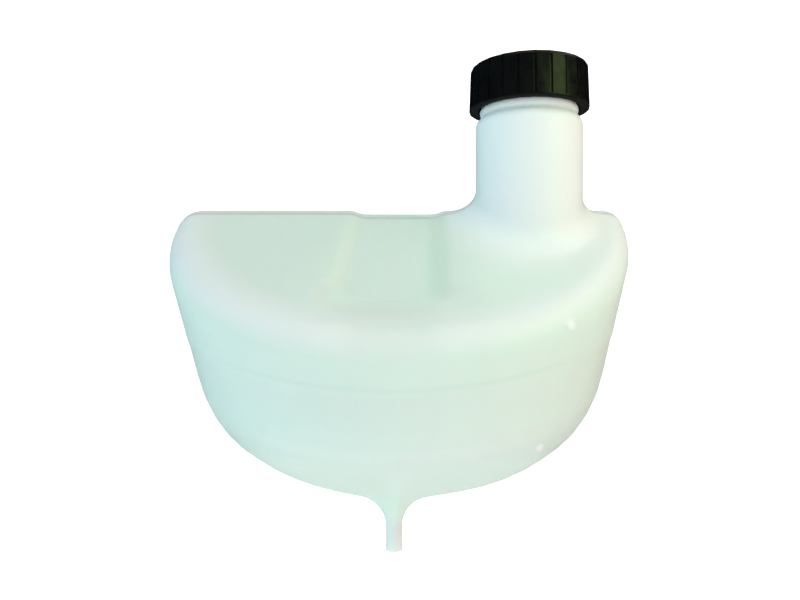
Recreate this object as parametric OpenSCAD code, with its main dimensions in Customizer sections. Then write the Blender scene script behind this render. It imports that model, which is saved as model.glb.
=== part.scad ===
// Coolant expansion tank: a hollow blow-moulded tank with a filler neck, a screw cap and its seal.
// Millimetres, +Z up, -Y to the front, +X to the filler neck.
// The origin is on the hose spigot's axis, at the lower end of its straight wall.
// The parting plane of the tank's mould is y = 0, and the neck and the spigot stand on it.

/* [Tank body] */
// Half width left of the spigot, where the flank meets the top edge's height
left_w = 115.8; // [106:0.2:130]
// Half width right of the spigot, where the flank meets the top edge's height
right_w = 119.8; // [114:0.2:135]
// Height of the top edge on the parting plane
edge_z = 173.2; // [166:0.2:180]
// Height of the tank's lowest point, on the spigot's axis
bottom_z = 23.8; // [22:0.2:30]
// Depth from the parting plane to the front wall, at the middle of that wall
front_depth = 88; // [82:1:94]
// Height at which the front depth is measured
front_mid_z = 92; // [88:1:96]
// Depth from the parting plane to the flat back
back_depth = 36; // [35:0.5:42]
// Slope of the top down towards the front, in degrees
top_slope = 35; // [33:0.2:36]
// Lean of the left flank inwards on the way down, in degrees
left_lean = 12.4; // [10:0.2:15]
// Lean of the right flank inwards on the way down, in degrees
right_lean = 10.6; // [9:0.2:13]
// Lean of the front wall inwards on the way down, in degrees
front_lean = 3; // [1:0.5:6]
// Rise of the bottom edge from the spigot out to the left flank, in degrees
left_rise = 10.6; // [8:0.2:13]
// Rise of the bottom edge from the spigot out to the right flank, in degrees
right_rise = 9.2; // [7:0.2:12]
// Rise of the underside from the spigot out to the front wall, in degrees
underside_rise = 24.7; // [22:0.2:27]
// Draft of the rear half of the mould, in degrees
rear_draft = 1.5; // [0.5:0.5:3]
// Wall thickness of the moulding
wall = 2.6; // [2:0.1:3]

/* [Tank radii] */
// Radius of the top left corner
left_corner_r = 11.8; // [9:0.2:16]
// Radius of the top right corner
right_corner_r = 8; // [6:0.2:14]
// Radius of the bowl below the left flank
left_bowl_r = 90; // [80:1:96]
// Radius of the bowl below the right flank
right_bowl_r = 87; // [78:1:94]
// Radius of the crest between the sloping top and the front wall
crest_r = 22; // [16:1:26]
// Radius between the front wall and the underside
chin_r = 30; // [20:1:36]
// Radius round the edge of the flat back
back_edge_r = 8; // [6:0.5:9]
// Depth behind the parting plane over which the front's slopes level out
level_out = 8; // [5:0.5:10]

/* [Strap recess] */
// Width of the recess floor
strap_w = 39.6; // [34:0.2:42]
// Place of the recess floor's middle along X, at the parting plane
strap_x = 2.4; // [0:0.2:4]
// Turn of the recess away from straight ahead, in degrees
strap_turn = 4.5; // [0:0.5:6]
// Depth of the recess below the top edge, measured upright
strap_depth = 2.2; // [1.6:0.1:2.8]
// Slope of the recess floor, in degrees
strap_slope = 36.9; // [36:0.1:37.6]
// Length of the flat floor along the slope, from the parting plane
strap_len = 74; // [64:1:78]
// Lean of the recess walls away from square to its floor, in degrees
strap_wall_lean = 60; // [45:1:64]
// Radius of the hollow at the recess's front end
strap_end_r = 7; // [4:0.5:9]

/* [Pips] */
// Radius of the ball that a pip is a part of
pip_r = 1.9; // [1.4:0.1:2.4]
// How far a pip stands out of the wall
pip_out = 0.8; // [0.4:0.1:1.2]
// Direction of the upper pip, in degrees round from the right flank
upper_pip_turn = 50.5; // [30:0.5:60]
// Height of the upper pip
upper_pip_z = 118; // [112:0.5:126]
// Direction of the lower pip, in degrees round from the right flank
lower_pip_turn = 43.5; // [30:0.5:60]
// Height of the lower pip
lower_pip_z = 62.5; // [54:0.5:70]

/* [Filler neck] */
// Distance of the neck's axis from the right flank's top
neck_inset = 50.2; // [48:0.2:54]
// Outer radius of the neck below its shoulder
neck_r = 27.4; // [25:0.1:28]
// Height of the shoulder under the cap
shoulder_z = 221.8; // [200:0.2:230]
// Width of the rounded shoulder, from the neck in to its finish
shoulder_w = 3.4; // [2:0.1:4]
// Height of the rounded shoulder
shoulder_h = 5.4; // [3:0.1:7]
// Height of the neck finish above the shoulder
finish_h = 20.8; // [20:0.1:24]
// How far the bead ring stands out of the neck finish
bead_out = 0.8; // [0.5:0.1:1]
// Height of the bead ring
bead_h = 2.6; // [2:0.1:3]
// Gap between the shoulder and the bead ring
bead_gap = 1.4; // [1:0.1:2]
// Bevel of the neck's lip
lip_bevel = 0.6; // [0.3:0.1:1]
// Run of the neck's root blend on the left
root_left = 16; // [12:0.5:17]
// Run of the neck's root blend on the right
root_right = 10; // [6:0.5:10.5]
// Run of the neck's root blend at the front
root_front = 10; // [6:0.5:12]
// Run of the neck's root blend at the back
root_back = 5; // [3:0.5:6]
// Height of the neck's root blend at its front and sides
root_h = 11; // [8:0.5:13]
// Height of the neck's root blend at the back
root_back_h = 6.6; // [4:0.2:8]

/* [Hose spigot] */
// Outer radius of the spigot
spigot_r = 4.35; // [3.8:0.05:5]
// Wall thickness of the spigot
spigot_wall = 1.6; // [1.3:0.1:1.8]
// Length of the spigot's straight wall
spigot_len = 13; // [11:0.5:15]
// Rounding of the spigot's lower end
spigot_end_r = 0.6; // [0.3:0.1:1]
// Run of the spigot's root blend on the left
spigot_root_left = 12; // [8:0.5:13]
// Run of the spigot's root blend on the right
spigot_root_right = 11; // [7:0.5:12]

/* [Screw cap] */
// Clearance between the bead ring and the cap's skirt
cap_gap = 1.4; // [1:0.1:2]
// Thickness of the cap's skirt at its lower edge, at the middle of a panel
skirt_t = 4.2; // [3.6:0.1:5]
// How far the grip panels lean in from the lower edge to the crown
cap_taper = 0.8; // [0.4:0.1:1.2]
// Height of the cap
cap_h = 22; // [19:0.1:23]
// Thickness of the cap's crown
crown_t = 3; // [2.4:0.1:3.6]
// Rounding of the crown's edge
crown_edge_r = 2; // [1.5:0.1:3]
// Number of grip panels
panels = 24; // [18:1:30]
// Turn of the screwed-down cap, in degrees
cap_turn = 3; // [0:0.5:15]
// Width of the groove between two panels
groove_w = 1.2; // [0.8:0.1:1.6]
// Depth of the groove between two panels
groove_d = 0.7; // [0.4:0.1:0.9]
// Plain band below the grooves
cap_band = 1.2; // [0.8:0.1:2]
// Radius of the vent hole in the crown
vent_r = 1; // [0.6:0.1:1.5]

/* [Cap seal] */
// Thickness of the seal
seal_t = 2.4; // [1.8:0.1:3]
// Width of the seal's flat ring
seal_w = 5.4; // [4.6:0.1:6]
// Clearance between the seal and the cap's skirt
seal_gap = 0.3; // [0.2:0.1:0.4]

/* [Hidden] */

// Steps of a shell: round the top corner, down the wall, in along the bottom, round the front,
// back to where the front's slopes are level, and round the edge of the flat back
outer_steps = [6, 3, 12, 32, 3, 4];
inner_steps = [3, 2, 8, 20, 2, 3];
// Share of the bottom's steps that lies on the arc, at the flanks and at the front
side_arc_share = 3 / 4;
front_arc_share = 1 / 3;
// Least radius of a corner where it draws in to the flat back
least_r = 0.5;
// Steps round a root blend and down it
blend_turns = 28;
blend_steps = 5;
// Small sinking of a blend's edges into what carries it
sink = 0.06;
// Length that carries a cut past the surface it opens
past = 2;
// Height of the solid that cuts the strap recess, above its floor
strap_reach = 7;
// Turn of the hollow at the recess's front end, in degrees, and its steps
hollow_turn = 60;
hollow_steps = 5;
// Sides of the turned forms
neck_sides = 96;
spigot_sides = 48;
vent_sides = 32;
pip_sides = 24;

neck_x = right_w - neck_inset;
finish_r = neck_r - shoulder_w;
lip_z = shoulder_z + finish_h;
cap_z = lip_z + seal_t + crown_t - cap_h;
crown_z = lip_z + seal_t;
cap_bore_r = finish_r + bead_out + cap_gap;
cap_low_r = cap_bore_r + skirt_t;
cap_top_r = cap_low_r - cap_taper;
bore_r = spigot_r - spigot_wall;
back_start = back_depth - back_edge_r;
top_grade = tan(top_slope);

// One half outline as [distance from the axis, height]: a top line, a wall line and a bottom line,
// with arcs between them. The wall line is half_w from the axis at the height ref_z.
function outline(half_w, ref_z, lean, slope, top, bottom, rise, top_r, low_r, arc_share, steps) =
    let (
        corner_steps = steps[0],
        wall_steps = steps[1],
        low_steps = steps[2],
        grade = tan(slope),
        lean_grade = tan(lean),
        rise_grade = tan(rise),
        top_x = (half_w - lean_grade * (ref_z - top)) / (1 + lean_grade * grade),
        low_x = (half_w - lean_grade * (ref_z - bottom)) / (1 - lean_grade * rise_grade),
        top_corner = [top_x, top - grade * top_x],
        low_corner = [low_x, bottom + rise_grade * low_x],
        top_normal = [sin(slope), cos(slope)],
        wall_normal = [cos(lean), -sin(lean)],
        low_normal = [sin(rise), -cos(rise)],
        top_centre = top_corner - top_r * (top_normal + wall_normal) / (1 + top_normal * wall_normal),
        low_centre = low_corner - low_r * (low_normal + wall_normal) / (1 + low_normal * wall_normal),
        wall_top = top_centre + top_r * wall_normal,
        wall_low = low_centre + low_r * wall_normal,
        arc_end = low_centre + low_r * low_normal
    )
    concat(
        [for (i = [0:corner_steps])
            arc_point(top_centre, top_r, 90 - slope, -lean, i / corner_steps)],
        [for (i = [1:wall_steps - 1])
            wall_top + (wall_low - wall_top) * i / wall_steps],
        [for (i = [0:low_steps - 1])
            let (share = i / low_steps)
            share < arc_share
                ? arc_point(low_centre, low_r, -lean, rise - 90, share / arc_share)
                : arc_end + ([0, bottom] - arc_end) * (share - arc_share) / (1 - arc_share)]
    );

function arc_point(centre, r, from, to, share) =
    let (a = from + (to - from) * share)
    centre + r * [cos(a), sin(a)];

// Heights where the outlines meet the axis, for a shell that lies inset inside the outer one
function axis_top(inset) = edge_z - inset / cos(top_slope);
function axis_bottom(inset) = bottom_z + inset / cos(underside_rise);

// The flank's outline on the parting plane, or in the rear half by deep further in
function flank_outline(half_w, lean, rise, corner_r, bowl_r, inset, deep, steps) =
    outline(
        half_w - (inset + deep) / cos(lean), edge_z, lean, 0,
        axis_top(inset) - deep, axis_bottom(inset) + deep, rise,
        max(least_r, corner_r - inset - deep), bowl_r - inset - deep, side_arc_share, steps
    );

function right_outline(inset, deep, steps) =
    flank_outline(right_w, right_lean, right_rise, right_corner_r, right_bowl_r, inset, deep, steps);

function left_outline(inset, deep, steps) =
    flank_outline(left_w, left_lean, left_rise, left_corner_r, left_bowl_r, inset, deep, steps);

// The profile from the axis straight out to the front wall
function front_outline(inset, steps) =
    outline(
        front_depth - inset / cos(front_lean), front_mid_z, front_lean, top_slope,
        axis_top(inset), axis_bottom(inset), underside_rise,
        crest_r - inset, chin_r - inset, front_arc_share, steps
    );

// Behind the parting plane the front's slopes level out: the share of a slope still run at depth y
function levelled(y) = y < level_out ? y - y * y / (2 * level_out) : level_out / 2;

// How far the rear half has drawn in at depth y, by its draft and by the rounding to the flat back
function drawn_in(y, edge_r = back_edge_r) =
    let (run = max(0, y - back_start))
    min(y, back_start) * tan(rear_draft) + edge_r - sqrt(max(0, edge_r * edge_r - run * run));

// A closed shell: the front is swept round from the right flank to the left one on half ellipses,
// and the rear half is a stack of sections that ends in the flat back.
module shell_solid(inset, steps) {
    right = right_outline(inset, 0, steps);
    left = left_outline(inset, 0, steps);
    front = front_outline(inset, steps);
    turns = steps[3];
    edge_r = back_edge_r - inset;
    rear_depths = concat(
        [for (i = [1:steps[4]]) level_out * i / steps[4]],
        [back_start],
        [for (i = [1:steps[5]]) back_start + edge_r * sin(90 * i / steps[5])]
    );
    row_count = len(front);
    across = turns + 1;
    bottom_index = row_count * across;
    ring_size = 2 * row_count + 1;
    front_points = [
        for (i = [0:row_count - 1], j = [0:turns])
            let (a = 180 * j / turns, side = a < 90 ? right[i] : left[i])
            [side[0] * cos(a), -front[i][0] * sin(a), side[1] + (front[i][1] - side[1]) * sin(a)]
    ];
    rear_points = [
        for (y = rear_depths)
            let (
                deep = drawn_in(y, edge_r),
                run = levelled(y),
                right_in = right_outline(inset, deep, steps),
                left_in = left_outline(inset, deep, steps)
            )
            each concat(
                [for (i = [0:row_count - 1])
                    [right_in[i][0], y, right_in[i][1] + run * (right[i][1] - front[i][1]) / front[i][0]]],
                [[0, y, axis_bottom(inset) + deep + run * (left_grade + right_grade) / 2]],
                [for (i = [row_count - 1:-1:0])
                    [-left_in[i][0], y, left_in[i][1] + run * (left[i][1] - front[i][1]) / front[i][0]]]
            )
    ];
    points = concat(front_points, [[0, 0, axis_bottom(inset)]], rear_points);
    edge_ring = concat(
        [for (i = [0:row_count - 1]) i * across],
        [bottom_index],
        [for (i = [row_count - 1:-1:0]) i * across + turns]
    );
    rings = concat(
        [edge_ring],
        [for (k = [0:len(rear_depths) - 1])
            [for (q = [0:ring_size - 1]) bottom_index + 1 + k * ring_size + q]]
    );
    faces = concat(
        [for (j = [0:turns / 2 - 1]) [j, j + 1, turns - j]],
        [for (j = [0:turns / 2 - 2]) [j + 1, turns - j - 1, turns - j]],
        [for (i = [0:row_count - 2], j = [0:turns - 1])
            let (upper = i * across + j, lower = upper + across)
            each [[upper, lower, lower + 1], [upper, lower + 1, upper + 1]]],
        [for (j = [0:turns - 1])
            let (last = (row_count - 1) * across + j)
            [last, bottom_index, last + 1]],
        [for (k = [0:len(rings) - 2], q = [0:ring_size - 1])
            let (next = (q + 1) % ring_size)
            each [
                [rings[k][q], rings[k + 1][q], rings[k + 1][next]],
                [rings[k][q], rings[k + 1][next], rings[k][next]]
            ]],
        [[for (q = [ring_size - 1:-1:0]) rings[len(rings) - 1][q]]]
    );
    polyhedron(points, faces, convexity = 6);
}

// A point of the outer front wall, in a direction round from the right flank and at a height
function wall_point(turn, z) =
    let (
        side = turn < 90 ? right_outline(0, 0, outer_steps) : left_outline(0, 0, outer_steps),
        front = front_outline(0, outer_steps),
        column = [for (i = [0:len(front) - 1])
            [side[i][0] * cos(turn), -front[i][0] * sin(turn), side[i][1] + (front[i][1] - side[i][1]) * sin(turn)]],
        upper = [for (i = [0:len(front) - 2]) if (column[i][2] >= z && column[i + 1][2] < z) i][0],
        share = (column[upper][2] - z) / (column[upper][2] - column[upper + 1][2])
    )
    column[upper] + (column[upper + 1] - column[upper]) * share;

// A small domed pip on the front wall
module pip(turn, z) {
    place = wall_point(turn, z);
    inwards = [-place[0], -place[1], 0] / norm([place[0], place[1]]);
    translate(place + inwards * (pip_r - pip_out))
        sphere(r = pip_r, $fn = pip_sides);
}

// Shape of the bottom near the spigot, on the left and on the right: how much wider than deep its
// rings are, and its slope behind the parting plane
underside_grade = tan(underside_rise);
front_reach = last(front_outline(0, outer_steps))[0];
left_ratio = last(left_outline(0, 0, outer_steps))[0] / front_reach;
right_ratio = last(right_outline(0, 0, outer_steps))[0] / front_reach;
left_grade = tan(left_rise) * left_ratio - underside_grade;
right_grade = tan(right_rise) * right_ratio - underside_grade;

function last(list) = list[len(list) - 1];

// Height of the tank's outer surface near the spigot
function bottom_height(x, y) =
    let (
        rise_grade = tan(x < 0 ? left_rise : right_rise),
        ratio = x < 0 ? left_ratio : right_ratio,
        rear_grade = x < 0 ? left_grade : right_grade
    )
    y < 0
        ? bottom_z + rise_grade * (norm([x, ratio * y]) + ratio * y) - underside_grade * y
        : bottom_z + rise_grade * abs(x) + levelled(y) * rear_grade + drawn_in(y);

// Height of the tank's outer surface on top, away from its corners
function top_height(y) = y < 0 ? edge_z + top_grade * y : edge_z + top_grade * levelled(y) - drawn_in(y);

// A ring-shaped solid round an upright axis: one closed section for each direction
module blend_ring(sections) {
    turns = len(sections);
    size = len(sections[0]);
    points = [for (section = sections) each section];
    faces = [
        for (t = [0:turns - 1], s = [0:size - 1])
            let (
                here = t * size,
                there = ((t + 1) % turns) * size,
                next = (s + 1) % size
            )
            each [
                [here + s, there + s, there + next],
                [here + s, there + next, here + next]
            ]
    ];
    polyhedron(points, faces, convexity = 6);
}

// Blend between directions: a value for each of the four sides
function by_side(a, right, back, left, front) =
    (cos(a) < 0 ? left : right) * pow(cos(a), 2) + (sin(a) < 0 ? front : back) * pow(sin(a), 2);

// Hollow blend round the neck's foot, which follows the sloping top
module neck_root() {
    sections = [
        for (t = [0:blend_turns - 1])
            let (
                a = 360 * t / blend_turns,
                run = by_side(a, root_right, root_back, root_left, root_front),
                rise = by_side(a, root_h, root_back_h, root_h, root_h),
                inner = neck_r - wall / 2,
                rim = neck_r + run,
                radii = [for (s = [0:blend_steps]) neck_r - sink + (run + sink) * (1 - cos(90 * s / blend_steps))],
                lifts = [for (s = [0:blend_steps]) rise * (1 - sin(90 * s / blend_steps))]
            )
            concat(
                [root_point(a, inner, neck_r, rise)],
                [for (s = [0:blend_steps - 1]) root_point(a, radii[s], radii[s], lifts[s])],
                [root_point(a, rim, rim, -sink)],
                [root_point(a, rim - sink, rim - sink, -wall / 2)],
                [root_point(a, inner, inner, -wall / 2)]
            )
    ];
    translate([neck_x, 0, 0])
        blend_ring(sections);
}

// A point r from the neck's axis in direction a, lifted above the tank's top at the radius foot
function root_point(a, r, foot, lift) = [r * cos(a), r * sin(a), top_height(foot * sin(a)) + lift];

// Hollow blend round the spigot's root, from the level end of its straight wall to the underside
module spigot_root() {
    sections = [
        for (t = [0:blend_turns - 1])
            let (
                a = -360 * t / blend_turns,
                run = by_side(a, spigot_root_right, spigot_root_left, spigot_root_left, spigot_root_left),
                inner = bore_r + spigot_wall / 3,
                rim = spigot_r + run
            )
            concat(
                [[inner * cos(a), inner * sin(a), spigot_len - spigot_wall]],
                [[(spigot_r - sink) * cos(a), (spigot_r - sink) * sin(a), spigot_len - spigot_wall]],
                [for (s = [0:blend_steps])
                    let (
                        r = spigot_r - sink / 2 + (run + sink / 2) * (1 - cos(90 * s / blend_steps)),
                        under = bottom_height(r * cos(a), r * sin(a)) + (s < blend_steps ? 0 : sink)
                    )
                    [r * cos(a), r * sin(a), spigot_len + (under - spigot_len) * sin(90 * s / blend_steps)]],
                [under_point(a, rim - sink, wall / 2)],
                [under_point(a, inner, wall / 2)]
            )
    ];
    blend_ring(sections);
}

// A point r from the spigot's axis in direction a, lifted above the tank's underside
function under_point(a, r, lift) =
    [r * cos(a), r * sin(a), bottom_height(r * cos(a), r * sin(a)) + lift];

// The channel for the holding strap, as the solid that is cut out of the tank. Grown is how far its
// floor and walls are moved outwards, for the same form in the cavity.
module strap_channel(grown) {
    lean_grade = tan(strap_wall_lean);
    half_w = strap_w / 2 + grown * (1 / cos(strap_wall_lean) - lean_grade);
    reach = strap_reach + grown;
    flat_z = edge_z + top_grade * level_out / 2 - strap_depth;
    translate([strap_x, 0, edge_z - strap_depth])
        rotate([strap_slope, 0, 0])
            translate([0, 0, -grown])
                intersection() {
                    rotate([0, 0, -strap_turn])
                        translate([0, back_depth, 0])
                            channel_prism(half_w, lean_grade, reach, strap_len + 2 * back_depth);
                    rotate([90, 0, 90])
                        linear_extrude(height = 2 * strap_w + 4 * reach, center = true)
                            polygon(strap_end(grown, reach));
                }
    translate([strap_x, back_depth + past, flat_z - grown])
        channel_prism(half_w, lean_grade, reach, back_depth + past);
}

// A straight channel that runs towards -Y from the origin
module channel_prism(half_w, lean_grade, reach, length) {
    rotate([90, 0, 0])
        linear_extrude(height = length)
            polygon([
                [-half_w, 0],
                [half_w, 0],
                [half_w + lean_grade * reach, reach],
                [-half_w - lean_grade * reach, reach]
            ]);
}

// Lengthwise outline of the sloping channel: its floor and the hollow at its front end
function strap_end(grown, reach) =
    let (
        r = strap_end_r + grown,
        hollow = [for (i = [0:hollow_steps])
            let (a = hollow_turn * i / hollow_steps)
            [-strap_len - r * sin(a), r * (1 - cos(a))]],
        out = last(hollow)
    )
    concat(
        [[back_depth, reach], [back_depth, 0]],
        hollow,
        [out + (reach - out[1]) * [-1 / tan(hollow_turn), 1]]
    );

// Outside of the neck as one turned form: the neck, its shoulder, the bead ring and the finish
module neck_outside() {
    foot_z = edge_z - top_grade * neck_r - 3 * wall;
    bead_z = shoulder_z + bead_gap;
    translate([neck_x, 0, 0])
        rotate_extrude($fn = neck_sides)
            polygon(concat(
                [[0, foot_z], [neck_r, foot_z]],
                [for (a = [0:15:90])
                    [finish_r + shoulder_w * cos(a), shoulder_z - shoulder_h * (1 - sin(a))]],
                [[finish_r, bead_z]],
                [for (a = [30:30:150])
                    [finish_r + bead_out * sin(a), bead_z + bead_h * (1 - cos(a)) / 2]],
                [[finish_r, bead_z + bead_h], [finish_r, lip_z - lip_bevel]],
                [[finish_r - lip_bevel, lip_z], [0, lip_z]]
            ));
}

// Inside of the neck, which follows its outside one wall further in
module neck_inside() {
    foot_z = edge_z - top_grade * neck_r - 3 * wall;
    inside_r = neck_r - wall;
    finish_in = finish_r - wall;
    translate([neck_x, 0, 0])
        rotate_extrude($fn = neck_sides)
            polygon([
                [0, foot_z - past],
                [inside_r, foot_z - past],
                [inside_r, shoulder_z - shoulder_h - wall / 2],
                [finish_in, shoulder_z - wall / 2],
                [finish_in, lip_z + past],
                [0, lip_z + past]
            ]);
}

// Outside of the spigot, with a slimmer core that goes on up inside its root blend
module spigot_outside() {
    core_r = bore_r + 2 * spigot_wall / 3;
    rotate_extrude($fn = spigot_sides)
        polygon(concat(
            [[0, bottom_z + wall], [0, -spigot_end_r]],
            [for (i = [0:4]) arc_point([spigot_r - spigot_end_r, 0], spigot_end_r, -90, 0, i / 4)],
            [[spigot_r, spigot_len], [core_r, spigot_len], [core_r, bottom_z + wall]]
        ));
}

// Bore of the spigot, straight up into the tank
module spigot_inside() {
    translate([0, 0, -spigot_end_r - past])
        cylinder(r = bore_r, h = axis_bottom(wall) + spigot_end_r + 2 * past, $fn = spigot_sides);
}

module cavity() {
    difference() {
        shell_solid(wall, inner_steps);
        strap_channel(wall);
    }
}

module tank() {
    color([0.85, 0.92, 0.88])
        difference() {
            union() {
                shell_solid(0, outer_steps);
                neck_outside();
                neck_root();
                spigot_outside();
                spigot_root();
                pip(upper_pip_turn, upper_pip_z);
                pip(lower_pip_turn, lower_pip_z);
            }
            strap_channel(0);
            cavity();
            neck_inside();
            spigot_inside();
        }
}

// Reach of a panel's corner against its middle, and the direction of the groove at that corner
corner = 1 / cos(180 / panels);
function groove_angle(i) = 360 * (i + 0.5) / panels + cap_turn;

// The cap's outside: flat panels all round, under a rounded crown
module cap_outside() {
    low = [for (i = [0:panels - 1]) cap_low_r * corner * [cos(groove_angle(i)), sin(groove_angle(i))]];
    top = [for (i = [0:panels - 1]) cap_top_r * corner * [cos(groove_angle(i)), sin(groove_angle(i))]];
    edge_r = cap_top_r * corner;
    intersection() {
        polyhedron(
            concat([for (p = low) [p[0], p[1], cap_z]], [for (p = top) [p[0], p[1], cap_z + cap_h]]),
            concat(
                [[for (i = [0:panels - 1]) i]],
                [for (i = [0:panels - 1])
                    let (next = (i + 1) % panels)
                    [i, i + panels, next + panels, next]],
                [[for (i = [panels - 1:-1:0]) i + panels]]
            )
        );
        rotate_extrude($fn = neck_sides)
            polygon(concat(
                [[0, cap_z - past], [cap_low_r * corner + past, cap_z - past]],
                [[cap_low_r * corner + past, cap_z + cap_h / 2]],
                [for (i = [0:5])
                    arc_point([edge_r - crown_edge_r, cap_z + cap_h - crown_edge_r], crown_edge_r, 0, 90, i / 5)],
                [[0, cap_z + cap_h]]
            ));
    }
}

module cap_groove() {
    draft = atan((cap_low_r - cap_top_r) * corner / cap_h);
    translate([cap_low_r * corner - groove_d, -groove_w / 2, cap_z + cap_band])
        rotate([0, -draft, 0])
            cube([groove_d + past, groove_w, cap_h - cap_band - crown_edge_r]);
}

module cap() {
    color([0.05, 0.05, 0.06])
        translate([neck_x, 0, 0])
            difference() {
                cap_outside();
                for (i = [0:panels - 1])
                    rotate([0, 0, groove_angle(i)])
                        cap_groove();
                translate([0, 0, cap_z - past])
                    cylinder(r = cap_bore_r, h = crown_z - cap_z + past, $fn = neck_sides);
                translate([0, 0, cap_z])
                    cylinder(r = vent_r, h = cap_h + past, $fn = vent_sides);
            }
}

module cap_seal() {
    color([0.12, 0.12, 0.12])
        translate([neck_x, 0, lip_z])
            difference() {
                cylinder(r = cap_bore_r - seal_gap, h = seal_t, $fn = neck_sides);
                translate([0, 0, -past])
                    cylinder(r = cap_bore_r - seal_gap - seal_w, h = seal_t + 2 * past, $fn = neck_sides);
            }
}

tank();
cap();
cap_seal();
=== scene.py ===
# The looks of a milky blow-moulded coolant expansion tank with a black screw cap.
# Metres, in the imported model's frame: +Z up, -Y to the front, +X to the filler neck.
# The sizes in the functions are millimetres, as on the part's own drawing.
import math

import bmesh
import bpy
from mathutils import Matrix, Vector


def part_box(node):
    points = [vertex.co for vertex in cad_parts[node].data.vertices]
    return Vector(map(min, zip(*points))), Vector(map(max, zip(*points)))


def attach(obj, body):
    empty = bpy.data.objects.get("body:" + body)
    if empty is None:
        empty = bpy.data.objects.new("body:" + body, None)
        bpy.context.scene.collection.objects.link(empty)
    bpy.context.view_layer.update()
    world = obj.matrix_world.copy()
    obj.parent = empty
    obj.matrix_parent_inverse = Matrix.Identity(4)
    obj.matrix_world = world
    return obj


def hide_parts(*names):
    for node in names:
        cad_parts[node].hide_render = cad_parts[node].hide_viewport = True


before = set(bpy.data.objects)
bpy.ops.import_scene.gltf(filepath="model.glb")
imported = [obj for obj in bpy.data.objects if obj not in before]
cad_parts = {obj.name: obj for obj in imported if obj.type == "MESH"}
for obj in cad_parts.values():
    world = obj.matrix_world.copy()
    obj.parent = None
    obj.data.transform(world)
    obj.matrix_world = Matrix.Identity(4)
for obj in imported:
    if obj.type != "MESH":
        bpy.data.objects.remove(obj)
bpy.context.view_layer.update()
MM = 0.001

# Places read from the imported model
TANK_LOW, TANK_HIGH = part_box("tank")
CAP_LOW, CAP_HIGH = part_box("cap")
SEAL_LOW, SEAL_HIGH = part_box("cap_seal")
NECK_X = (SEAL_LOW.x + SEAL_HIGH.x) / 2 / MM
LIP_Z = TANK_HIGH.z / MM

# Sizes of the moulding, in millimetres
NECK_R = 27.4
FINISH_R = 24
WALL = 2.6
SHOULDER_Z = 221.8
SHOULDER_W = 3.4
SHOULDER_H = 5.4
BEAD_OUT = 1.0
BEAD_GAP = 1.4
BEAD_H = 3.9
SPIGOT_R = 4.35
SPIGOT_WALL = 1.6
SPIGOT_END_Z = -0.6
THREAD_LEAD = 6
# Heights where the turned neck and spigot are joined to the blown shell
NECK_JOIN_Z = 200
SPIGOT_JOIN_Z = 14.4
# The parting seam: how far it stands out of the blown shell, and its width
SEAM_OUT = 0.14
SEAM_W = 0.8
# The faint level line on the front wall: its height in the middle, and its depth
LEVEL_Z = 92
LEVEL_STEP = 0.36
# How far the strap's channel is pressed in where it runs on over the crest
CHANNEL_RUN = 0.4
# The two pips on the front wall: across and height of each, and how far they stand out
PIPS = ((75.4, 117.9), (64.4, 64.0))
PIP_OUT = 0.8
# Cell sizes of the even meshes of the blown shell's outer and inner surface
OUTER_CELL = 1.5
INNER_CELL = 3


# Camera

def photo_camera():
    """The photograph's level view, taken close to the front of the tank."""
    focal_px = 708
    frame_px = 800
    data = bpy.data.cameras.new("photo_camera")
    data.sensor_width = 36
    data.lens = data.sensor_width * focal_px / frame_px
    data.clip_start = 0.01
    data.clip_end = 20
    camera = bpy.data.objects.new("photo_camera", data)
    bpy.context.scene.collection.objects.link(camera)
    camera.location = (3.1 * MM, -366 * MM, 128.5 * MM)
    camera.rotation_euler = (math.radians(90), 0, 0)
    bpy.context.scene.camera = camera


# Handling of pieces

def take(*pieces):
    """Leaves only these pieces selected, with the first of them active."""
    bpy.ops.object.select_all(action="DESELECT")
    for piece in pieces:
        piece.select_set(True)
    bpy.context.view_layer.objects.active = pieces[0]


def edit(piece):
    take(piece)
    bpy.ops.object.mode_set(mode="EDIT")
    bpy.ops.mesh.select_mode(type="VERT")
    bpy.ops.mesh.select_all(action="SELECT")


def done():
    bpy.ops.object.mode_set(mode="OBJECT")


def pick(piece, test):
    """In edit mode, selects just the vertices whose place in millimetres passes the test."""
    shape = bmesh.from_edit_mesh(piece.data)
    for vert in shape.verts:
        vert.select = test(vert.co / MM)
    shape.select_flush_mode()
    bmesh.update_edit_mesh(piece.data)


def pick_faces(piece, test):
    """In edit mode, selects just the faces whose middle and normal pass the test."""
    bpy.ops.mesh.select_mode(type="FACE")
    shape = bmesh.from_edit_mesh(piece.data)
    for face in shape.faces:
        face.select = test(face.calc_center_median() / MM, face.normal)
    shape.select_flush_mode()
    bmesh.update_edit_mesh(piece.data)


def pick_edges(piece, test):
    """In edit mode, selects just the edges that pass the test."""
    bpy.ops.mesh.select_all(action="DESELECT")
    bpy.ops.mesh.select_mode(type="EDGE")
    shape = bmesh.from_edit_mesh(piece.data)
    for edge in shape.edges:
        edge.select = test(edge)
    shape.select_flush_mode()
    bmesh.update_edit_mesh(piece.data)


def pick_rim(piece, test):
    """In edit mode, selects the open rims whose place in millimetres passes the test."""
    def on_rim(edge):
        middle = (edge.verts[0].co + edge.verts[1].co) / 2 / MM
        return edge.is_boundary and test(middle)

    pick_edges(piece, on_rim)


def cut(height, keep_below, axis=2):
    """In edit mode, cuts the selection by a plane and drops one side of it."""
    place = [0, 0, 0]
    normal = [0, 0, 0]
    place[axis] = height * MM
    normal[axis] = 1
    bpy.ops.mesh.bisect(
        plane_co=place, plane_no=normal, clear_outer=keep_below, clear_inner=not keep_below
    )


def cut_ends(neck_z, spigot_z):
    """In edit mode, opens a shell at these heights, across its neck and across its spigot."""
    for height, keep_below in ((neck_z, True), (spigot_z, False)):
        bpy.ops.mesh.select_all(action="SELECT")
        cut(height, keep_below)


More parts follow.
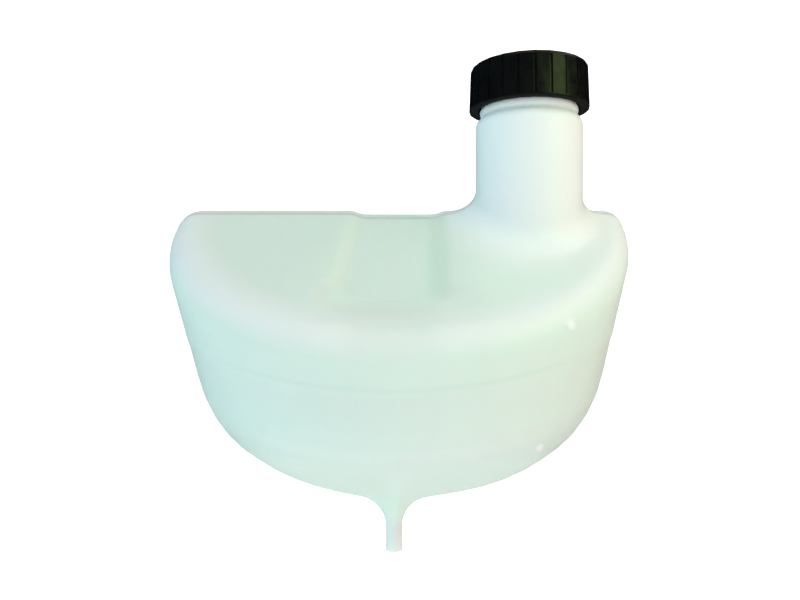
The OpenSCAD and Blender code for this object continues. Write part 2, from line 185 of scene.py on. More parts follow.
def turn_shade(piece, angle=30):
    """Shades a piece smooth, but for edges sharper than an angle in degrees."""
    take(piece)
    bpy.ops.object.shade_smooth_by_angle(angle=math.radians(angle))


def traced(name, spots):
    """A new piece, left in edit mode: one line, extruded from place to place in metres."""
    bpy.ops.object.select_all(action="DESELECT")
    bpy.ops.mesh.primitive_plane_add(size=MM, location=(0, 0, 0))
    piece = bpy.context.object
    piece.name = name
    edit(piece)
    bpy.ops.mesh.merge(type="CENTER")
    place = Vector((0, 0, 0))
    for index, spot in enumerate(spots):
        if index == 0:
            bpy.ops.transform.translate(value=spot - place)
        else:
            bpy.ops.mesh.extrude_vertices_move(TRANSFORM_OT_translate={"value": spot - place})
        place = spot
    bpy.ops.mesh.select_all(action="SELECT")
    return piece


def turned(name, profile, centre_x, steps, closed=True):
    """A profile of radius and height points in millimetres, spun round an upright axis."""
    ring = profile + [profile[0]] if closed else profile
    piece = traced(name, [Vector(((centre_x + r) * MM, 0, z * MM)) for r, z in ring])
    bpy.ops.mesh.spin(
        steps=steps, angle=2 * math.pi, center=(centre_x * MM, 0, 0), axis=(0, 0, 1)
    )
    bpy.ops.mesh.select_all(action="SELECT")
    bpy.ops.mesh.remove_doubles(threshold=0.002 * MM)
    bpy.ops.mesh.normals_make_consistent(inside=False)
    done()
    return piece


def arc(centre_r, centre_z, run, rise, start, end, steps):
    """Points of an elliptical arc in a profile, from one angle to another in degrees."""
    angles = [math.radians(start + (end - start) * i / steps) for i in range(steps + 1)]
    return [(centre_r + run * math.cos(a), centre_z + rise * math.sin(a)) for a in angles]


def dress(piece, material):
    piece.data.materials.clear()
    piece.data.materials.append(material)


# The tank

def moulding_copy(name):
    """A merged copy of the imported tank, to work on."""
    piece = bpy.data.objects.new(name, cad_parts["tank"].data.copy())
    bpy.context.scene.collection.objects.link(piece)
    edit(piece)
    bpy.ops.mesh.remove_doubles(threshold=0.001 * MM)
    done()
    return piece


def remeshed(piece, voxel):
    """Closes a shell's cut ends and gives it an even, fine mesh."""
    edit(piece)
    bpy.ops.mesh.fill_holes(sides=0)
    bpy.ops.mesh.select_all(action="SELECT")
    bpy.ops.mesh.normals_make_consistent(inside=False)
    done()
    even = piece.modifiers.new("even", "REMESH")
    even.mode = "VOXEL"
    even.voxel_size = voxel * MM
    even.use_smooth_shade = True
    take(piece)
    bpy.ops.object.modifier_apply(modifier="even")


def relax(piece, test, rounds):
    """Smooths the picked part of a shell and swells it back, so that it keeps its size."""
    pick(piece, test)
    for _ in range(rounds):
        bpy.ops.mesh.vertices_smooth(factor=0.5, repeat=1)
        bpy.ops.mesh.vertices_smooth(factor=-0.52, repeat=1)


def near_strap(place):
    """Whether a place is on or near the strap recess, whose edges are softened less."""
    return abs(place.x) < 36 and -60 < place.y and place.z > 100


def strap_end(place):
    """Whether a place is near the recess's front end, which fades out softly."""
    return abs(place.x) < 34 and -77 < place.y < -50 and place.z > 104


def strap_right(place):
    """Whether a place is near the recess's wall on the neck's side, which is a soft slope."""
    return 12 < place.x < 32 and -60 < place.y < -3 and place.z > 110


def near_spigot(place):
    return place.z < 30 and abs(place.x) < 22


def level_line(x):
    """Height of the faint line across the front wall, which rises towards both flanks."""
    return LEVEL_Z + 5 * (abs(x) / 55) ** 2.2


def press_in(piece, depth, tests):
    """Presses a part of a shell in by a depth in millimetres, a little at each test."""
    for test in tests:
        pick(piece, test)
        bpy.ops.transform.shrink_fatten(value=-depth / len(tests) * MM)


def over_crest(edge):
    """Where the strap's channel runs on, faintly, over the crest and down to the level line."""
    def inside(place):
        along = abs(place.x + 2) < 19.5 - edge
        return along and place.y < -56 - 4 * edge and place.z > 100 + 2 * edge

    return inside


def on_pip(reach):
    """The places on the front wall that lie within a reach of either pip's middle."""
    def inside(place):
        spans = [math.hypot(place.x - x, place.z - z) for x, z in PIPS]
        return place.y < -30 and min(spans) < reach

    return inside


def below_line(lower):
    """The places on the front that lie at least so far below the level line."""
    return lambda place: place.y < -15 and place.z < level_line(place.x) - lower


def parting_seam(outer):
    """The fine ridge where the mould's halves met, cut from the shell's own surface."""
    take(outer)
    bpy.ops.object.duplicate()
    seam = bpy.context.object
    seam.name = "tank_parting_seam"
    edit(seam)
    cut(SEAM_W / 2, keep_below=True, axis=1)
    bpy.ops.mesh.select_all(action="SELECT")
    cut(-SEAM_W / 2, keep_below=False, axis=1)
    cut_ends(NECK_JOIN_Z, SPIGOT_JOIN_Z + 1)
    done()
    ridge = seam.modifiers.new("ridge", "SOLIDIFY")
    ridge.thickness = 0.9 * MM
    ridge.offset = -1
    take(seam)
    bpy.ops.object.modifier_apply(modifier="ridge")
    turn_shade(seam, 40)
    return seam


def soften(outer):
    """Smooths the outer surface all over, and then each part of the strap recess by itself."""
    edit(outer)
    relax(outer, lambda place: not near_spigot(place), 6)
    relax(outer, lambda place: not near_strap(place) and not near_spigot(place), 30)
    relax(outer, near_spigot, 3)
    for part, rounds in ((near_strap, 8), (strap_end, 110), (strap_right, 45)):
        pick(outer, part)
        bpy.ops.mesh.vertices_smooth(factor=0.5, repeat=rounds)
    done()


def mark_front(outer):
    """Sinks the outer surface behind its seam, and draws the front wall's fine marks in it."""
    edit(outer)
    bpy.ops.transform.shrink_fatten(value=-SEAM_OUT * MM)
    press_in(outer, LEVEL_STEP, [below_line(lower) for lower in (0.0, 0.9, 1.8, 2.7)])
    press_in(outer, -PIP_OUT, [on_pip(reach) for reach in (2.4, 1.7, 1.1)])
    press_in(outer, CHANNEL_RUN, [over_crest(edge) for edge in (0.0, 1.2, 2.4, 3.6, 4.8)])
    cut_ends(NECK_JOIN_Z, SPIGOT_JOIN_Z)
    done()


def blown_shells():
    """The blown shell's outer and inner surface, open at the neck and the spigot, and its seam."""
    both = moulding_copy("tank_skin")
    edit(both)
    cut_ends(NECK_JOIN_Z + 3, SPIGOT_JOIN_Z - 1.2)
    bpy.ops.mesh.select_all(action="SELECT")
    bpy.ops.mesh.separate(type="LOOSE")
    done()
    shells = sorted(bpy.context.selected_objects, key=lambda piece: -piece.dimensions.x)
    outer, inner = shells[0], shells[1]
    remeshed(outer, OUTER_CELL)
    soften(outer)
    seam = parting_seam(outer)
    mark_front(outer)
    remeshed(inner, INNER_CELL)
    edit(inner)
    cut_ends(NECK_JOIN_Z, SPIGOT_JOIN_Z)
    bpy.ops.mesh.select_all(action="SELECT")
    bpy.ops.mesh.flip_normals()
    done()
    return outer, inner, seam


def rim_radius(piece, centre_x, height):
    """Mean radius of an open rim round an upright axis, in millimetres."""
    spots = [vert.co / MM for vert in piece.data.vertices if abs(vert.co.z / MM - height) < 0.01]
    reach = [math.hypot(spot.x - centre_x, spot.y) for spot in spots]
    return sum(reach) / len(reach)


def turned_neck(outer, inner):
    """The top of the neck: its shoulder, bead ring, finish and lip, open at both lower ends."""
    bead_z = SHOULDER_Z + BEAD_GAP
    outside = rim_radius(outer, NECK_X, NECK_JOIN_Z)
    inside = rim_radius(inner, NECK_X, NECK_JOIN_Z)
    low_z = NECK_JOIN_Z + 1.5
    neck_in = NECK_R - WALL
    finish_in = FINISH_R - WALL
    lip_out = 0.7
    lip_in = 0.5
    profile = [(outside, low_z), (outside, low_z + 3), (NECK_R - 0.06, low_z + 9)]
    profile += arc(
        FINISH_R, SHOULDER_Z - SHOULDER_H, SHOULDER_W - 0.06, SHOULDER_H, 0, 84, 9
    )
    profile += [(FINISH_R + 0.12, SHOULDER_Z + 0.15), (FINISH_R, SHOULDER_Z + 0.5)]
    profile += [(FINISH_R, bead_z)]
    profile += arc(FINISH_R, bead_z + BEAD_H / 2, BEAD_OUT, BEAD_H / 2, -78, 78, 8)
    profile += [(FINISH_R, bead_z + BEAD_H)]
    profile += arc(FINISH_R - lip_out, LIP_Z - lip_out, lip_out, lip_out, 0, 90, 5)
    profile += arc(finish_in + lip_in, LIP_Z - lip_in, lip_in, lip_in, 90, 180, 4)
    profile += [(finish_in, SHOULDER_Z - 1.3), (neck_in, SHOULDER_Z - SHOULDER_H - 1.3)]
    profile += [(neck_in, low_z + 9), (inside, low_z + 3), (inside, low_z)]
    return turned("neck_top", profile, NECK_X, 144, closed=False)


def turned_spigot(outer, inner):
    """The hose spigot with a slight bead at its end, open at both upper ends."""
    outside = rim_radius(outer, 0, SPIGOT_JOIN_Z)
    inside = rim_radius(inner, 0, SPIGOT_JOIN_Z)
    bore = SPIGOT_R - SPIGOT_WALL
    high_z = SPIGOT_JOIN_Z - 0.8
    end_in = 0.4
    end_out = 0.6
    profile = [(inside, high_z), (bore, high_z - 1.6), (bore, SPIGOT_END_Z + 0.5)]
    profile += arc(bore + end_in, SPIGOT_END_Z + end_in, end_in, end_in, 180, 270, 3)
    profile += arc(SPIGOT_R - end_out, SPIGOT_END_Z + end_out, end_out, end_out, 270, 360, 5)
    profile += [(SPIGOT_R, 1.2), (SPIGOT_R - 0.04, 2)]
    profile += [(SPIGOT_R - 0.18, 3.2), (SPIGOT_R - 0.2, 4)]
    profile += [(SPIGOT_R - 0.16, high_z - 1.8), (outside, high_z)]
    return turned("spigot", profile, 0, 64, closed=False)


def bridge_rims(piece, centre_x, low, high, split_r):
    """Joins the two open rims that lie outside a radius, and then the two inside it."""
    for outside in (True, False):
        def between(spot):
            reach = math.hypot(spot.x - centre_x, spot.y)
            return low < spot.z < high and (reach > split_r) == outside

        pick_rim(piece, between)
        bpy.ops.mesh.bridge_edge_loops()


def milky_tank():
    """The whole moulding as one skin, and its parting seam."""
    outer, inner, seam = blown_shells()
    neck = turned_neck(outer, inner)
    spigot = turned_spigot(outer, inner)
    take(outer, inner, neck, spigot)
    bpy.ops.object.join()
    outer.name = "tank_skin"
    edit(outer)
    bridge_rims(outer, NECK_X, NECK_JOIN_Z - 1, NECK_JOIN_Z + 2, NECK_R - WALL / 2)
    bridge_rims(outer, 0, SPIGOT_JOIN_Z - 1.5, SPIGOT_JOIN_Z + 0.5, SPIGOT_R - SPIGOT_WALL / 2)
    bpy.ops.mesh.select_mode(type="VERT")
    bpy.ops.mesh.select_all(action="SELECT")
    bpy.ops.mesh.normals_make_consistent(inside=False)
    done()
    turn_shade(outer, 40)
    return outer, seam


def thread(name, root_r, crest_r, start_z, turns):
    """A tapered screw ridge round the neck's axis, from inside its wall out to its crest."""
    steps_a_turn = 96
    reach = 1 if crest_r > root_r else -1
    profile = [
        (root_r, -1.3), (root_r + 0.35 * reach, -1.3), (crest_r, -0.55),
        (crest_r, 0.55), (root_r + 0.35 * reach, 1.3), (root_r, 1.3),
    ]
    ridge = traced(name, [Vector((r * MM, 0, (start_z + z) * MM)) for r, z in profile])
    bpy.ops.mesh.edge_face_add()
    bpy.ops.mesh.delete(type="ONLY_FACE")
    done()
    screw = ridge.modifiers.new("screw", "SCREW")
    screw.axis = "Z"
    screw.angle = 2 * math.pi * turns
    screw.screw_offset = THREAD_LEAD * turns * MM
    screw.steps = screw.render_steps = round(steps_a_turn * turns)
    screw.use_smooth_shade = True
    take(ridge)
    bpy.ops.object.modifier_apply(modifier="screw")
    across = len(profile)
    last = len(ridge.data.vertices) // across - 1
    run_out = steps_a_turn / 9
    for vert in ridge.data.vertices:
        step = vert.index // across
        share = min(1, min(step, last - step) / run_out)
        flat = Vector((vert.co.x, vert.co.y))
        sunk = root_r * MM + (flat.length - root_r * MM) * math.sin(share * math.pi / 2)
        flat = flat.normalized() * sunk
        vert.co.x, vert.co.y = flat.x + NECK_X * MM, flat.y
    edit(ridge)
    bpy.ops.mesh.fill_holes(sides=0)
    bpy.ops.mesh.select_all(action="SELECT")
    bpy.ops.mesh.normals_make_consistent(inside=False)
    done()
    turn_shade(ridge, 35)
    return ridge


# The cap

def cap_shell():
    """The cap: flat grip panels with grooves between them, under a rounded crown."""
    panels = 24
    pitch = 360 / panels
    first_groove = 3 + pitch / 2
    low_r = 30.4
    top_r = 29.6
    bore_r = 26.2
    vent_r = 1
    groove_edge = 0.62
    groove_depth = 0.75
    crown_round = 2
    corner = 1 / math.cos(math.pi / panels)
    low_z = CAP_LOW.z / MM
    top_z = CAP_HIGH.z / MM
    crown_z = top_z - 3
    groove_low_z = low_z + 1.2
    groove_top_z = top_z - 2.2
    bpy.ops.object.select_all(action="DESELECT")
    bpy.ops.mesh.primitive_cylinder_add(
        vertices=panels, radius=low_r * corner * MM, depth=(top_z - low_z) * MM,
        location=(NECK_X * MM, 0, (low_z + top_z) / 2 * MM),
        rotation=(0, 0, math.radians(first_groove)),
    )
    cap = bpy.context.object
    cap.name = "cap_shell"
    bpy.ops.object.transform_apply(location=True, rotation=True, scale=True)
    edit(cap)
    pick(cap, lambda place: place.z > top_z - 0.1)
    bpy.ops.transform.resize(
        value=(top_r / low_r, top_r / low_r, 1), center_override=(NECK_X * MM, 0, top_z * MM)
    )
    pick_edges(cap, lambda edge: abs(edge.verts[0].co.z - edge.verts[1].co.z) > 10 * MM)
    bpy.ops.mesh.bevel(offset=groove_edge * MM, offset_type="OFFSET", segments=1)
    for height in (groove_low_z, groove_top_z):
        bpy.ops.mesh.select_all(action="SELECT")
        bpy.ops.mesh.bisect(plane_co=(0, 0, height * MM), plane_no=(0, 0, 1))

    def in_groove(place, normal):
        around = math.degrees(math.atan2(place.y, place.x - NECK_X))
        off = (around - first_groove + pitch / 2) % pitch - pitch / 2
        upright = abs(normal.z) < 0.5
        return upright and abs(off) < 0.6 and groove_low_z < place.z < groove_top_z

    pick_faces(cap, in_groove)
    bpy.ops.mesh.extrude_region_shrink_fatten(
        TRANSFORM_OT_shrink_fatten={"value": -groove_depth * MM}
    )
    top_edge = (top_z - 0.01) * MM
    pick_edges(cap, lambda edge: min(vert.co.z for vert in edge.verts) > top_edge)
    bpy.ops.mesh.bevel(offset=crown_round * MM, offset_type="OFFSET", segments=6)
    pick_faces(cap, lambda place, normal: normal.z < -0.9 and place.z < low_z + 0.1)
    bpy.ops.mesh.inset(thickness=(low_r - bore_r) * MM)
    bpy.ops.mesh.select_mode(type="VERT")
    shape = bmesh.from_edit_mesh(cap.data)
    for vert in shape.verts:
        if vert.select:
            flat = Vector((vert.co.x - NECK_X * MM, vert.co.y, 0))
            flat = flat.normalized() * bore_r * MM
            vert.co = Vector((flat.x + NECK_X * MM, flat.y, vert.co.z))
    bmesh.update_edit_mesh(cap.data)
    bpy.ops.mesh.select_mode(type="FACE")
    bpy.ops.mesh.extrude_region_move(
        TRANSFORM_OT_translate={"value": (0, 0, (crown_z - low_z) * MM)}
    )
    done()
    soft = cap.modifiers.new("soft_edges", "BEVEL")
    soft.width = 0.28 * MM
    soft.segments = 2
    soft.limit_method = "ANGLE"
    soft.angle_limit = math.radians(25)
    take(cap)
    bpy.ops.object.modifier_apply(modifier="soft_edges")
    edit(cap)
    for height, reach in ((top_z, top_r - crown_round), (crown_z, bore_r)):
        pick_faces(
            cap, lambda place, normal: abs(place.z - height) < 0.02 and abs(normal.z) > 0.99
            and math.hypot(place.x - NECK_X, place.y) < 0.5
        )
        bpy.ops.mesh.extrude_region_move()
        bpy.ops.transform.resize(
            value=(vent_r / reach, vent_r / reach, 1),
            center_override=(NECK_X * MM, 0, height * MM),
        )
    pick_faces(
        cap, lambda place, normal: place.z > crown_z - 0.1 and abs(normal.z) > 0.99
        and math.hypot(place.x - NECK_X, place.y) < 0.1
    )
    bpy.ops.mesh.bridge_edge_loops()
    done()
    turn_shade(cap, 25)
    return cap


def seal_ring():
    """The flat rubber ring inside the cap, with softened edges."""
    out_r = (SEAL_HIGH.x - SEAL_LOW.x) / 2 / MM
    in_r = out_r - 5.4
    low_z = SEAL_LOW.z / MM
    top_z = SEAL_HIGH.z / MM
    soft = 0.35
    profile = arc(in_r + soft, low_z + soft, soft, soft, 180, 270, 3)
    profile += arc(out_r - soft, low_z + soft, soft, soft, 270, 360, 3)
    profile += arc(out_r - soft, top_z - soft, soft, soft, 0, 90, 3)
    profile += arc(in_r + soft, top_z - soft, soft, soft, 90, 180, 3)
    ring = turned("seal_ring", profile, NECK_X, 128)
    turn_shade(ring, 30)
    return ring


# Materials

def new_material(name):
    """A node material and its main shader, ready for noise and bumps."""
    material = bpy.data.materials.new(name)
    material.use_nodes = True
    return material, material.node_tree.nodes["Principled BSDF"]


def noise(material, per_metre, detail=2.0, roughness=0.5):
    """Noise on the piece's own coordinates, with its rough number of features in a metre."""
    nodes, links = material.node_tree.nodes, material.node_tree.links
    place = nodes.new("ShaderNodeTexCoord")
    cloud = nodes.new("ShaderNodeTexNoise")
    cloud.inputs["Scale"].default_value = per_metre
    cloud.inputs["Detail"].default_value = detail
    cloud.inputs["Roughness"].default_value = roughness
    links.new(place.outputs["Object"], cloud.inputs["Vector"])
    return cloud.outputs[0]


def spread(material, value, low, high, target):
    """Sends a noise to a shader's number, between two values."""
    nodes, links = material.node_tree.nodes, material.node_tree.links
    between = nodes.new("ShaderNodeMapRange")
    between.inputs["From Min"].default_value = 0.3
    between.inputs["From Max"].default_value = 0.7
    between.inputs["To Min"].default_value = low
    between.inputs["To Max"].default_value = high
    links.new(value, between.inputs["Value"])
    links.new(between.outputs["Result"], target)


def tint(material, value, dark, light, target):
    """Sends a noise to a shader's colour, between two tints."""
    nodes, links = material.node_tree.nodes, material.node_tree.links
    ramp = nodes.new("ShaderNodeValToRGB")
    ramp.color_ramp.elements[0].position = 0.3
    ramp.color_ramp.elements[0].color = (*dark, 1)
    ramp.color_ramp.elements[1].position = 0.7
    ramp.color_ramp.elements[1].color = (*light, 1)
    links.new(value, ramp.inputs["Fac"])
    links.new(ramp.outputs["Color"], target)


def neck_painted_light(material):
    """A share that is one on the neck and fades below it, where the colour is painted lighter to
    stand in for the light that falls on the neck.
    """
    nodes, links = material.node_tree.nodes, material.node_tree.links
    place = nodes.new("ShaderNodeTexCoord")
    apart = nodes.new("ShaderNodeMapping")
    apart.inputs["Location"].default_value = (-NECK_X * MM, 0, -205 * MM / 2)
    apart.inputs["Scale"].default_value = (1, 1, 0.5)
    reach = nodes.new("ShaderNodeVectorMath")
    reach.operation = "LENGTH"
    links.new(place.outputs["Object"], apart.inputs["Vector"])
    links.new(apart.outputs["Vector"], reach.inputs[0])
    return fade(material, reach.outputs["Value"], 64 * MM, 34 * MM)


def sums(material, operation, *values):
    """One sum in a material, on numbers or on other nodes' results."""
    nodes, links = material.node_tree.nodes, material.node_tree.links
    node = nodes.new("ShaderNodeMath")
    node.operation = operation
    for socket, value in zip(node.inputs, values):
        if isinstance(value, (int, float)):
            socket.default_value = value
        else:
            links.new(value, socket)
    return node.outputs[0]


def fade(material, value, none_at, full_at):
    """A share that rises softly from none to all as a value goes from one number to another."""
    nodes, links = material.node_tree.nodes, material.node_tree.links
    node = nodes.new("ShaderNodeMapRange")
    node.interpolation_type = "SMOOTHSTEP"
    node.inputs["From Min"].default_value = none_at
    node.inputs["From Max"].default_value = full_at
    links.new(value, node.inputs["Value"])
    return node.outputs["Result"]


def axes(material, output):
    """The three numbers of one of the piece's own coordinates."""
    nodes, links = material.node_tree.nodes, material.node_tree.links
    place = nodes.new("ShaderNodeTexCoord")
    apart = nodes.new("ShaderNodeSeparateXYZ")
    links.new(place.outputs[output], apart.inputs[0])
    return apart.outputs[0], apart.outputs[1], apart.outputs[2]


def painted_crest_highlight(material):
    """A share for a painted highlight round the front crest and the neck's root, where the surface
    faces partly upwards.
    """
    x, y, _ = axes(material, "Object")
    up = axes(material, "Normal")[2]
    across = sums(material, "DIVIDE", sums(material, "SUBTRACT", x, 2.5 * MM), 115 * MM)
    along = sums(material, "DIVIDE", y, 88 * MM)
    reach = sums(material, "SQRT", sums(
        material, "ADD", sums(material, "MULTIPLY", across, across),
        sums(material, "MULTIPLY", along, along),
    ))
    rim = sums(material, "MULTIPLY", fade(material, reach, 0.78, 0.95),
               fade(material, y, 4 * MM, -6 * MM))
    middle = fade(material, sums(material, "ABSOLUTE", x), 10 * MM, 28 * MM)
    rim = sums(material, "MULTIPLY", rim, sums(material, "MULTIPLY_ADD", middle, 0.45, 0.55))
    root = sums(material, "MULTIPLY", fade(material, x, 38 * MM, 46 * MM),
                fade(material, up, 0.815, 0.66))
    share = sums(material, "MAXIMUM", rim, root)
    return sums(material, "MULTIPLY", share, fade(material, up, 0.08, 0.58))


def recess_end_painted_light(material):
    """A share for the front end of the strap recess, where it runs out over the crest, which is
    painted lighter to lift the shade in its valley.
    """
    x, y, z = axes(material, "Object")
    off = sums(material, "ABSOLUTE", sums(material, "ADD", y, 67 * MM))
    beside = fade(material, sums(material, "ABSOLUTE", x), 36 * MM, 20 * MM)
    high = fade(material, z, 104 * MM, 110 * MM)
    return sums(material, "MULTIPLY", fade(material, off, 13 * MM, 3 * MM),
                sums(material, "MULTIPLY", beside, high))


def pip_painted_highlight(material, x_mm, z_mm):
    """A share for the painted highlight on a pip on the front wall."""
    x, y, z = axes(material, "Object")
    across = sums(material, "SUBTRACT", x, x_mm * MM)
    up = sums(material, "SUBTRACT", z, z_mm * MM)
    squares = sums(material, "ADD", sums(material, "MULTIPLY", across, across),
                   sums(material, "MULTIPLY", up, up))
    spot = fade(material, sums(material, "SQRT", squares), 2.6 * MM, 1.0 * MM)
    return sums(material, "MULTIPLY", spot, fade(material, y, -25 * MM, -30 * MM))


def recess_wall_painted_light(material, middle, lean, half_width):
    """A share for one wall of the strap recess, in millimetres, over the front slope only: the
    veils paint shade on the neck's side wall and a highlight on the other.
    """
    x, y, z = axes(material, "Object")
    line = sums(material, "MULTIPLY_ADD", y, lean, middle * MM)
    off = sums(material, "ABSOLUTE", sums(material, "SUBTRACT", x, line))
    beside = fade(material, off, half_width * MM, half_width * 0.15 * MM)
    front = fade(material, y, -66 * MM, -53 * MM)
    top = fade(material, y, 1 * MM, -2 * MM)
    high = fade(material, z, 110 * MM, 116 * MM)
    return sums(material, "MULTIPLY", sums(material, "MULTIPLY", beside, front),
                sums(material, "MULTIPLY", top, high))


def painted_light_line(material, middle, half_width):
    """A share for a line of painted light across the front wall at one height, which rises to both
    flanks: painted shade along the level step, and a painted highlight along the lower crest.
    """
    x, y, z = axes(material, "Object")
    rise = sums(material, "MULTIPLY", sums(material, "MULTIPLY", x, x), 1.8)
    off = sums(material, "SUBTRACT", sums(material, "SUBTRACT", z, middle * MM), rise)
    beside = fade(material, sums(material, "ABSOLUTE", off), half_width * MM, 0.0)
    return sums(material, "MULTIPLY", beside, fade(material, y, -56 * MM, -74 * MM))


def veil(material, share, strength, below, colour):
    """Lays a tint over a colour, by a share and at a strength."""
    nodes, links = material.node_tree.nodes, material.node_tree.links
    mix = nodes.new("ShaderNodeMix")
    mix.data_type = "RGBA"
    links.new(sums(material, "MULTIPLY", share, strength), mix.inputs[0])
    links.new(below, mix.inputs[6])
    mix.inputs[7].default_value = (*colour, 1)
    return mix.outputs[2]


def bumps(material, shader, layers):
    """Stacks bumps on a shader: for each, its noise, its height in mm and its strength."""
    nodes, links = material.node_tree.nodes, material.node_tree.links
    below = None
    for value, height, strength in layers:
        bump = nodes.new("ShaderNodeBump")
        bump.inputs["Strength"].default_value = strength
        bump.inputs["Distance"].default_value = height * MM
        links.new(value, bump.inputs["Height"])
        if below:
            links.new(below, bump.inputs["Normal"])
        below = bump.outputs["Normal"]
    links.new(below, shader.inputs["Normal"])


def milky_plastic():
    """Unpigmented polyethylene: cloudy, slightly green, soft-sheened, lit through its wall, with
    painted highlights and painted shade laid over its colour.
    """
    material, shader = new_material("milky_plastic")
    nodes, links = material.node_tree.nodes, material.node_tree.links
    shader.inputs["IOR"].default_value = 1.5
    shader.inputs["Specular IOR Level"].default_value = 0.5
    shader.inputs["Subsurface Weight"].default_value = 0.7
    shader.inputs["Subsurface Radius"].default_value = (0.7, 1.0, 0.85)
    shader.inputs["Subsurface Scale"].default_value = 4 * MM
    # the neck is painted lighter, standing in for the light that falls on it
    blown, neck_lightening = nodes.new("ShaderNodeMix"), neck_painted_light(material)
    blown.data_type = "RGBA"
    cloudy = noise(material, 16, 3)
    tint(material, cloudy, (0.680, 0.890, 0.745), (0.700, 0.905, 0.765), blown.inputs[6])
    # painted lighter tint for the neck
    tint(material, cloudy, (0.795, 0.980, 0.865), (0.810, 0.990, 0.880), blown.inputs[7])
    links.new(neck_lightening, blown.inputs[0])
    wall = blown.outputs[2]
    height = axes(material, "Object")[2]
    # Each veil of painted light and shade: where it lies, how strong it is, and its tint
    veils = [
        # painted highlight along the front crest and round the neck's root
        (painted_crest_highlight(material), 0.65, (0.82, 0.99, 0.89)),
        # painted light that lifts the shade at the recess's front end
        (recess_end_painted_light(material), 0.38, (0.79, 0.99, 0.81)),
        # painted shade on the recess's wall on the neck's side
        (recess_wall_painted_light(material, 22.2, 0.03, 8.0), 0.42, (0.56, 0.74, 0.58)),
        # painted highlight on the recess's other wall
        (recess_wall_painted_light(material, -20.9, 0.07, 5.0), 0.32, (0.72, 0.98, 0.81)),
        # painted shade along the level step on the front wall
        (painted_light_line(material, LEVEL_Z + 0.6, 1.9), 0.22, (0.56, 0.78, 0.60)),
        # painted highlight along the lower crest of the front wall
        (painted_light_line(material, 64.0, 5.0), 0.12, (0.86, 0.98, 0.88)),
        # painted light: the colour is lighter towards the spigot at the bottom
        (fade(material, height, 26 * MM, 8 * MM), 0.6, (0.82, 0.95, 0.87)),
    ]
    # painted highlight on each pip
    veils += [(pip_painted_highlight(material, *pip), 0.8, (0.84, 0.99, 0.89)) for pip in PIPS]
    for share, strength, colour in veils:
        wall = veil(material, share, strength, wall, colour)
    links.new(wall, shader.inputs["Base Color"])
    spread(material, noise(material, 60, 3), 0.34, 0.42, shader.inputs["Roughness"])
    bumps(material, shader, [
        (noise(material, 90, 2), 0.10, 0.5),
        (noise(material, 800, 3), 0.02, 0.4),
    ])
    return material


def black_plastic():
    """Moulded black polypropylene with a satin sheen and a fine grain."""
    material, shader = new_material("black_plastic")
    shader.inputs["IOR"].default_value = 1.49
    shader.inputs["Specular IOR Level"].default_value = 0.36
    tint(
        material, noise(material, 120, 3), (0.002, 0.0024, 0.0028), (0.004, 0.0046, 0.005),
        shader.inputs["Base Color"],
    )
    grain = fade(material, noise(material, 260, 4), 0.3, 0.7)
    grain = sums(material, "MULTIPLY_ADD", grain, 0.12, 0.26)
    height = axes(material, "Object")[2]
    rim = fade(material, height, CAP_LOW.z + 1.4 * MM, CAP_LOW.z + 0.2 * MM)
    matt = sums(material, "MAXIMUM", grain, sums(material, "MULTIPLY", rim, 0.95))
    material.node_tree.links.new(matt, shader.inputs["Roughness"])
    bumps(material, shader, [
        (noise(material, 300, 2), 0.03, 0.3),
        (noise(material, 1800, 2), 0.006, 0.4),
    ])
    return material


def seal_rubber():
    """Matt black rubber."""
    material, shader = new_material("seal_rubber")
    shader.inputs["IOR"].default_value = 1.52
    tint(
        material, noise(material, 200, 3), (0.012, 0.012, 0.012), (0.022, 0.021, 0.02),
        shader.inputs["Base Color"],
    )
    spread(material, noise(material, 400, 3), 0.62, 0.78, shader.inputs["Roughness"])
    bumps(material, shader, [(noise(material, 1500, 3), 0.02, 0.5)])
    return material


# Stage

def glowing_paper(name, glow):
    """Stage paper that the camera sees as even white, and that sends no light to the part."""
    material, shader = new_material(name)
    shader.inputs["Base Color"].default_value = (0.6, 0.6, 0.6, 1)
    shader.inputs["Roughness"].default_value = 0.9
    shader.inputs["Specular IOR Level"].default_value = 0.0
    shader.inputs["Emission Color"].default_value = (1, 1, 1, 1)
    shader.inputs["Emission Strength"].default_value = glow
    return material


def stage_piece(piece, name, material):
    """Makes a piece part of the stage, which only the camera sees."""
    piece.name = name
    dress(piece, material)
    piece.visible_diffuse = False
    piece.visible_glossy = False
    piece.visible_transmission = False
    piece.visible_shadow = False


def pale_stage():
    """A pale floor just under the spigot and an even pale backdrop all round."""
    paper = glowing_paper("pale_paper", 1.0)
    bpy.ops.object.select_all(action="DESELECT")
    bpy.ops.mesh.primitive_plane_add(size=9, location=(0, 0, TANK_LOW.z - 1 * MM))
    stage_piece(bpy.context.object, "pale_floor", paper)
    bpy.ops.mesh.primitive_uv_sphere_add(segments=48, ring_count=24, radius=4.4)
    dome = bpy.context.object
    take(dome)
    bpy.ops.object.shade_smooth()
    stage_piece(dome, "pale_backdrop", paper)


# Lamps: name, what they aim at in millimetres, azimuth from the front towards the neck,
# elevation, distance, width and height in metres, power, and colour
LAMPS = [
    ("window", (70, -20, 170), 49, 30, 0.4, 0.25, 0.25, 0.34, (0.672, 1.0, 0.32)),
    ("crest_mid", (0, -70, 115), 0, 75, 0.8, 0.6, 0.3, 0.68, (1.0, 0.82, 0.35)),
    ("crest_right", (50, -50, 120), 94, 55, 0.8, 0.4, 0.4, 0.68, (1.0, 0.794, 0.827)),
    ("back_low", (0, -40, 40), 180, -38, 0.7, 0.7, 0.4, 0.531, (0.791, 1.0, 0.84)),
]
# Light from all round: its red, green and blue at the middle, and how much each grows towards
# the neck's side, the back and the top
AROUND = [
    (0.845, 0.145, -0.184, -0.268),
    (0.836, -0.134, -0.144, -0.260),
    (0.920, -0.212, -0.140, -0.195),
]


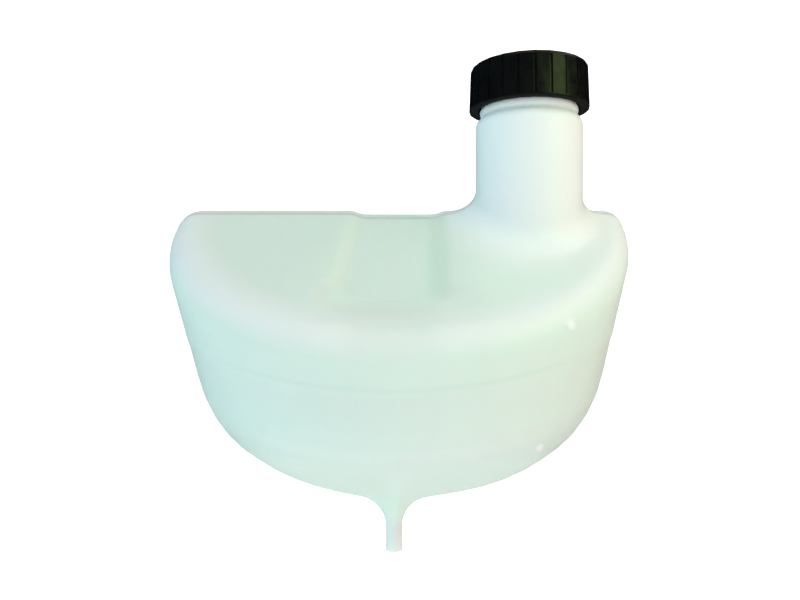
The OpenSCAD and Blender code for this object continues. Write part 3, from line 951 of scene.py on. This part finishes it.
def lamp(name, target, azimuth, elevation, distance, width, height, power, colour):
    """A soft rectangular lamp that faces its target."""
    data = bpy.data.lights.new(name, "AREA")
    data.shape = "RECTANGLE"
    data.size = width
    data.size_y = height
    data.energy = power
    data.color = colour
    body = bpy.data.objects.new(name, data)
    bpy.context.scene.collection.objects.link(body)
    az, el = math.radians(azimuth), math.radians(elevation)
    aim = Vector((math.sin(az) * math.cos(el), -math.cos(az) * math.cos(el), math.sin(el)))
    body.location = Vector(target) * MM + distance * aim
    body.rotation_euler = aim.to_track_quat("Z", "Y").to_euler()
    return body


def tent_light():
    """Even light from all round, a little different on each side, as in a photographer's tent."""
    world = bpy.data.worlds.new("studio")
    world.use_nodes = True
    nodes, links = world.node_tree.nodes, world.node_tree.links
    sky = nodes["Background"]
    way = nodes.new("ShaderNodeTexCoord")
    colour = nodes.new("ShaderNodeCombineColor")
    for channel, (middle, *growth) in zip(("Red", "Green", "Blue"), AROUND):
        slope = nodes.new("ShaderNodeVectorMath")
        slope.operation = "DOT_PRODUCT"
        slope.inputs[1].default_value = growth
        slope.name = channel + "_slope"
        level = nodes.new("ShaderNodeMath")
        level.operation = "ADD"
        level.inputs[1].default_value = middle
        level.name = channel + "_level"
        links.new(way.outputs["Generated"], slope.inputs[0])
        links.new(slope.outputs["Value"], level.inputs[0])
        links.new(level.outputs["Value"], colour.inputs[channel])
    links.new(colour.outputs["Color"], sky.inputs["Color"])
    bpy.context.scene.world = world
    world.cycles_visibility.glossy = False


def soft_lights():
    tent_light()
    bpy.context.scene.view_settings.view_transform = "Standard"
    for row in LAMPS:
        lamp(*row)


photo_camera()
milk = milky_plastic()
black = black_plastic()
rubber = seal_rubber()

tank_skin, tank_seam = milky_tank()
neck_thread = thread("neck_thread", 23.6, 25.3, 231.4, 1.5)
for piece in (tank_skin, tank_seam, neck_thread):
    dress(piece, milk)
    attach(piece, "tank")
    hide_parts("tank")

cap_piece = cap_shell()
cap_thread = thread("cap_thread", 26.6, 24.9, 228.4, 2.0)
for piece in (cap_piece, cap_thread):
    dress(piece, black)
    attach(piece, "cap")
    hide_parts("cap")

seal_piece = seal_ring()
dress(seal_piece, rubber)
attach(seal_piece, "seal")
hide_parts("cap_seal")

pale_stage()
soft_lights()
